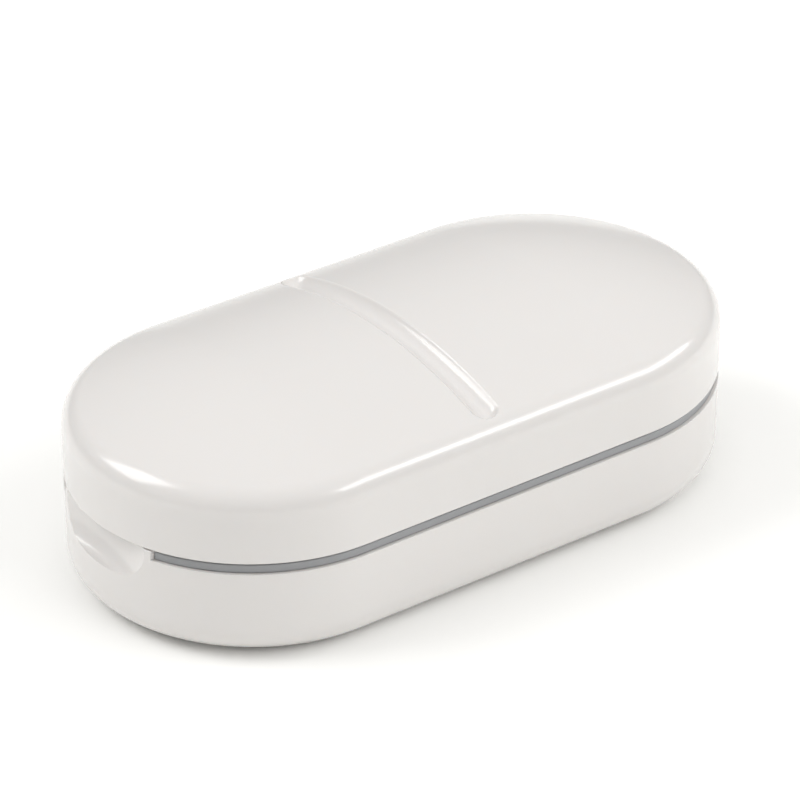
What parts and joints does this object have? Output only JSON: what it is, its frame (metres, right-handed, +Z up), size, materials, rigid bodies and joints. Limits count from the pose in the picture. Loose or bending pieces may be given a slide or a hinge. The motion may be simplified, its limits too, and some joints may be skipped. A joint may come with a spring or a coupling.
{
  "type": "pill splitter",
  "caption": "Pocket pill splitter in a caplet-shaped hinged case: crowned lid with a score groove and a guarded blade, base with a V cradle and a storage well.",
  "frame": {"origin": "middle of the underside, on the surface the case rests on, midway between the casing's ends", "axes": "+X along the case towards the hinge, +Z up, +Y to the left when looking towards +X"},
  "size_m": [0.0873, 0.0448, 0.0258],
  "materials": {
    "white_plastic": "smooth, slightly glossy white moulding",
    "grey_plastic": "satin mid grey moulding",
    "frosted_plastic": "pale frosted moulding",
    "silicone": "matt grey silicone",
    "steel": "bright steel"
  },
  "bodies": {
    "base": {"base_shell": "white_plastic", "inner_tray": "grey_plastic", "pill_cradle": "frosted_plastic", "grip_strip_left": "silicone", "grip_strip_right": "silicone", "anti_slip_pad": "silicone", "tray_screw_front_right": "steel", "tray_screw_front_left": "steel", "tray_screw_rear_right": "steel", "tray_screw_rear_left": "steel", "hinge_pin": "steel"},
    "lid": {"lid_shell": "white_plastic", "lid_liner": "grey_plastic", "liner_screw_front_right": "steel", "liner_screw_front_left": "steel", "liner_screw_rear_right": "steel", "liner_screw_rear_left": "steel", "blade": "steel", "blade_carrier": "white_plastic", "carrier_screw_front": "steel", "carrier_screw_rear": "steel", "guard_spring_front": "steel", "guard_spring_rear": "steel"},
    "guard": {"blade_guard": "white_plastic"}
  },
  "joints": [
    {"name": "lid_hinge", "type": "hinge", "parent": "base", "child": "lid", "pos_m": [0.0426, 0, 0.0126], "axis": [0, 1, 0], "range_deg": [0, 100]},
    {"name": "guard_slide", "type": "slide", "parent": "lid", "child": "guard", "axis": [0, 0, -1], "range_m": [0, 0.0054], "deforming": ["guard_spring_front", "guard_spring_rear"]}
  ],
  "couplings": [
    {"joint": "guard_slide", "follows": "lid_hinge", "m_per_rad": 0.00309}
  ]
}
